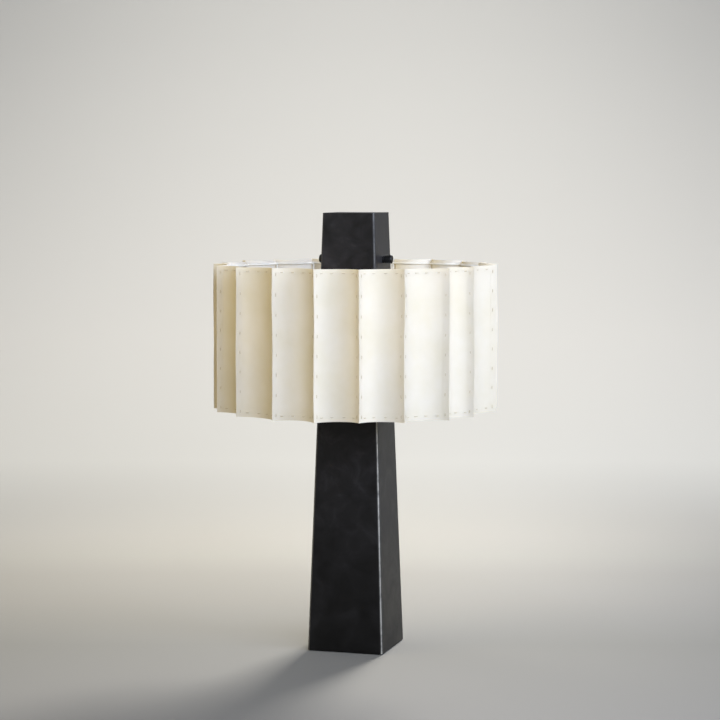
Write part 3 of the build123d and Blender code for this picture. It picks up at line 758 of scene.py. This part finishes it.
def makeBlackenedSteel(name, look):
    # steel sheet blackened by hand and lacquered: brown-black clouds, faint upright rubbing from
    # the sander, a few paler scuffs, and a corner flat that is worn back to bright metal, with a
    # painted highlight line down it that is brighter on the right-hand corners
    material = startMaterial(name)
    coords = addNode(material, "TexCoord")
    shift = addNode(
        material,
        "Mapping",
        {"Vector": coords.outputs["Object"], "Location": (look["seed"],) * 3},
    )
    point = shift.outputs["Vector"]

    # |x| + |y| grows to twice the half width less the chamfer, which is the corner's flat
    axes = addNode(material, "SeparateXYZ", {"Vector": coords.outputs["Object"]})
    absX = addNode(material, "Math", {0: axes.outputs["X"]}, operation="ABSOLUTE")
    absY = addNode(material, "Math", {0: axes.outputs["Y"]}, operation="ABSOLUTE")
    across = addNode(
        material, "Math", {0: absX.outputs[0], 1: absY.outputs[0]}, operation="ADD"
    )
    upright = addNode(
        material,
        "Math",
        {0: axes.outputs["Z"], 1: 2 * look["slope"], 2: across.outputs[0]},
        operation="MULTIPLY_ADD",
    )
    flat = 2 * (look["footHalf"] + look["slope"] * look["foot"]) - steel["chamfer"]
    starts, full = steel["cornerFade"]
    corner = addNode(
        material,
        "MapRange",
        {"Value": upright.outputs[0], "From Min": flat - starts, "From Max": flat - full},
        interpolation_type="SMOOTHSTEP",
    )

    # the wear and the painted highlight break up along the corner
    wear = addNode(
        material,
        "TexNoise",
        {"Vector": point, "Scale": 1 / steel["wearSize"], "Detail": 4, "Roughness": 0.65},
    )
    wearBreak = addNode(
        material,
        "MapRange",
        {
            "Value": wear.outputs["Fac"],
            "From Min": 0.36,
            "From Max": 0.56,
            "To Min": 0.45,
            "To Max": 1.0,
        },
    )
    # painted highlight: the line is brightest along the middle of the flat, where |x| equals |y|
    aside = addNode(
        material, "Math", {0: absX.outputs[0], 1: absY.outputs[0]}, operation="SUBTRACT"
    )
    aside = addNode(material, "Math", {0: aside.outputs[0]}, operation="ABSOLUTE")
    highlightLine = addNode(
        material,
        "MapRange",
        {
            "Value": aside.outputs[0],
            "From Min": look["highlightLine"] - steel["highlightLineFade"],
            "From Max": look["highlightLine"] + steel["highlightLineFade"],
            "To Min": 1.0,
            "To Max": 0.12,
        },
        interpolation_type="SMOOTHSTEP",
    )
    # painted highlight: the right-hand corners, on the side the light comes from, are drawn
    # brighter
    litSide = addNode(
        material,
        "MapRange",
        {
            "Value": axes.outputs["X"],
            "From Min": -steel["litSideFrom"],
            "From Max": steel["litSideFrom"],
            "To Min": 0.3,
        },
    )
    wornAndHighlit = corner
    for share in (wearBreak, highlightLine, litSide):
        wornAndHighlit = addNode(
            material, "Math", {0: wornAndHighlit.outputs[0], 1: share.outputs[0]}, operation="MULTIPLY"
        )

    patina = addNode(
        material,
        "TexNoise",
        {
            "Vector": point,
            "Scale": 1 / steel["cloudSize"],
            "Detail": 6,
            "Roughness": 0.62,
            "Distortion": 0.6,
        },
    )
    cloud = addNode(
        material,
        "ValToRGB",
        {"Fac": patina.outputs["Fac"]},
        stops=((0.3, steel["dark"]), (0.55, steel["light"]), (0.72, steel["scuff"])),
    )
    # painted shade: darker towards the foot, standing in for the dark floor that the foot mirrors
    paintedFootShade = addNode(
        material,
        "MapRange",
        {
            "Value": axes.outputs["Z"],
            "From Max": steel["footShadeHeight"],
            "To Min": 1 - look["footShade"],
            "To Max": 1.0,
        },
    )
    cloud = addNode(
        material,
        "Mix",
        {0: 1.0, 6: cloud.outputs["Color"], 7: paintedFootShade.outputs["Result"]},
        data_type="RGBA",
        blend_type="MULTIPLY",
    )
    colour = addNode(
        material,
        "Mix",
        {0: wornAndHighlit.outputs[0], 6: cloud.outputs[2], 7: linear(look["corner"])},
        data_type="RGBA",
    )

    lineWidth, lineLength = steel["sanderLine"]
    stretched = addNode(
        material,
        "Mapping",
        {"Vector": point, "Scale": (1 / lineWidth, 1 / lineWidth, 1 / lineLength)},
    )
    rubbing = addNode(
        material,
        "TexNoise",
        {"Vector": stretched.outputs["Vector"], "Scale": 1.0, "Detail": 3, "Roughness": 0.5},
    )
    bump = addNode(
        material,
        "Bump",
        {"Height": rubbing.outputs["Fac"], "Strength": 0.12, "Distance": 0.0001},
    )
    rough = addNode(
        material,
        "MapRange",
        {
            "Value": patina.outputs["Fac"],
            "From Min": 0.3,
            "From Max": 0.7,
            "To Min": look["gloss"],
            "To Max": look["gloss"] + 0.12,
        },
    )
    # dust dulls what faces up
    shape = addNode(material, "NewGeometry")
    facing = addNode(material, "SeparateXYZ", {"Vector": shape.outputs["Normal"]})
    dust = addNode(
        material,
        "MapRange",
        {
            "Value": facing.outputs["Z"],
            "From Min": 0.9,
            "From Max": 0.98,
            "To Max": steel["topDust"],
        },
    )
    rough = addNode(
        material, "Math", {0: rough.outputs[0], 1: dust.outputs[0]}, operation="ADD"
    )
    metal = addNode(
        material, "Math", {0: wornAndHighlit.outputs[0], 1: steel["bareMetal"]}, operation="MULTIPLY"
    )
    shader = addNode(
        material,
        "BsdfPrincipled",
        {
            "Base Color": colour.outputs[2],
            "Metallic": metal.outputs[0],
            "Roughness": rough.outputs[0],
            "Normal": bump.outputs["Normal"],
            "Specular IOR Level": 0.2,
        },
    )
    addNode(material, "OutputMaterial", {"Surface": shader.outputs[0]})
    return material


paint(makeBlackenedSteel("blackenedSteelColumn", columnSteel), "column_shell")
paint(makeBlackenedSteel("blackenedSteelHood", hoodSteel), "cap_hood")

# what a finish has unless it says otherwise
plainFinish = {
    "metallic": 0.0,
    "relief": 0.0001,
    "glossSpread": 0.05,
    "cloudScale": 0.12,  # the grain's size as a share of the clouds'
    "more": {},
}
finishes = {
    # wool felt under the foot: matt, hairy, no gloss at all
    "pressedFelt": {
        "dark": "#1d1d1e", "light": "#2a2a2b", "grain": 0.0009, "roughness": 0.95,
        "relief": 0.0006,
        "nodes": ("foot_pad",),
    },
    # pale bluish-grey plating with a soft metallic sheen
    "zincPlatedSteel": {
        "dark": "#a2a4a3", "light": "#bdbdb8", "grain": 0.0012, "roughness": 0.38,
        "metallic": 1.0,
        "nodes": (
            "base_plate", "base_lugs", "base_screws", "ballast_screws", "column_top_plate",
            "arm_lock_nuts", "switch_spindle_left", "switch_spindle_right",
        ),
    },
    # sand-cast iron: coarse dark grey skin
    "castIron": {
        "dark": "#3a3a3a", "light": "#4a4846", "grain": 0.002, "roughness": 0.75,
        "relief": 0.0005,
        "nodes": ("ballast_block",),
    },
    # fired and unglazed: off-white, chalky
    "unglazedPorcelain": {
        "dark": "#dfdbd0", "light": "#e9e5dc", "grain": 0.001, "roughness": 0.55,
        "nodes": ("terminal_block",),
    },
    # soft moulded rubber: deep black, dull
    "blackRubber": {
        "dark": "#161616", "light": "#1f1f1f", "grain": 0.0008, "roughness": 0.8,
        "nodes": ("top_plate_grommet",),
    },
    # injection-moulded nylon: black with a slight waxy gloss
    "mouldedNylon": {
        "dark": "#151515", "light": "#1e1e1e", "grain": 0.0008, "roughness": 0.5,
        "nodes": ("cord_bush",),
    },
    # oil-dipped oxide on turned steel: near black with a metallic edge
    "blackOxideSteel": {
        "dark": "#141415", "light": "#202022", "grain": 0.0007, "roughness": 0.4,
        "metallic": 0.5,
        "nodes": ("hood_screws", "switch_ring_nuts"),
    },
    # moulded switch case: satin dark grey plastic
    "mouldedSwitchCase": {
        "dark": "#1c1c1c", "light": "#262626", "grain": 0.0008, "roughness": 0.45,
        "nodes": ("rotary_switch_left", "rotary_switch_right"),
    },
    # turned and grooved steel, blackened: satin black, small glints on the grooves
    "blackenedKnob": {
        "dark": "#0d0d0e", "light": "#18181a", "grain": 0.0006, "roughness": 0.36,
        "metallic": 0.4, "relief": 0.00005,
        "nodes": ("switch_knob_left", "switch_knob_right"),
    },
    # stoved enamel on tube: smooth glossy black
    "blackEnamelTube": {
        "dark": "#131314", "light": "#1c1c1e", "grain": 0.001, "roughness": 0.3,
        "nodes": ("arm_tube_left", "arm_tube_right", "arm_flanges"),
    },
    # pressed resin: brown-black and polished by the mould
    "phenolicResin": {
        "dark": "#120f0e", "light": "#1d1816", "grain": 0.0012, "roughness": 0.28,
        "nodes": ("lampholder_left", "lampholder_right"),
    },
    # nickel over brass: bright, slightly warm metal
    "nickelPlatedBrass": {
        "dark": "#b9b09c", "light": "#cfc7b6", "grain": 0.001, "roughness": 0.25,
        "metallic": 1.0,
        "nodes": ("bulb_cap_left", "bulb_cap_right"),
    },
    # braided glass fibre over the wires: matt straw white
    "glassFibreSleeve": {
        "dark": "#c5c0b2", "light": "#d6d1c4", "grain": 0.0007, "roughness": 0.8,
        "relief": 0.0003,
        "nodes": ("supply_leads", "holder_leads"),
    },
    # dipped enamel on steel wire: warm white with a soft gloss
    "whiteEnamelWire": {
        "dark": "#efeadd", "light": "#f6f2e7", "grain": 0.001, "roughness": 0.55,
        "nodes": (
            "shade_collar", "shade_spokes", "shade_ribs", "shade_top_ring", "shade_bottom_ring",
        ),
    },
    # glass with a white coat inside: milky, hides what is behind it
    "frostedGlass": {
        "dark": "#f4f2ec", "light": "#f9f8f3", "grain": 0.0008, "roughness": 0.3,
        "more": {"Transmission Weight": 0.15},
        "nodes": ("bulb_glass_left", "bulb_glass_right"),
    },
}


def makeFinish(name, look):
    # colour clouding, uneven gloss and a surface grain, which is drawn coarser than the real
    # one where that is too fine to show
    material = startMaterial(name)
    coords = addNode(material, "TexCoord")
    cloud = addNode(
        material,
        "TexNoise",
        {
            "Vector": coords.outputs["Object"],
            "Scale": look["cloudScale"] / look["grain"],
            "Detail": 3,
        },
    )
    fine = addNode(
        material,
        "TexNoise",
        {
            "Vector": coords.outputs["Object"],
            "Scale": 1 / look["grain"],
            "Detail": 2,
            "Roughness": 0.6,
        },
    )
    colour = addNode(
        material,
        "ValToRGB",
        {"Fac": cloud.outputs["Fac"]},
        stops=((0.3, look["dark"]), (0.7, look["light"])),
    )
    rough = addNode(
        material,
        "MapRange",
        {
            "Value": fine.outputs["Fac"],
            "From Min": 0.3,
            "From Max": 0.7,
            "To Min": look["roughness"] - look["glossSpread"],
            "To Max": min(1.0, look["roughness"] + look["glossSpread"]),
        },
    )
    bump = addNode(
        material,
        "Bump",
        {"Height": fine.outputs["Fac"], "Strength": 0.3, "Distance": look["relief"]},
    )
    shader = addNode(
        material,
        "BsdfPrincipled",
        {
            "Base Color": colour.outputs["Color"],
            "Roughness": rough.outputs["Result"],
            "Normal": bump.outputs["Normal"],
            "Metallic": look["metallic"],
            **look["more"],
        },
    )
    addNode(material, "OutputMaterial", {"Surface": shader.outputs[0]})
    return material


for name, look in finishes.items():
    paint(makeFinish(name, {**plainFinish, **look}), *look["nodes"])
print("steel and fittings painted")
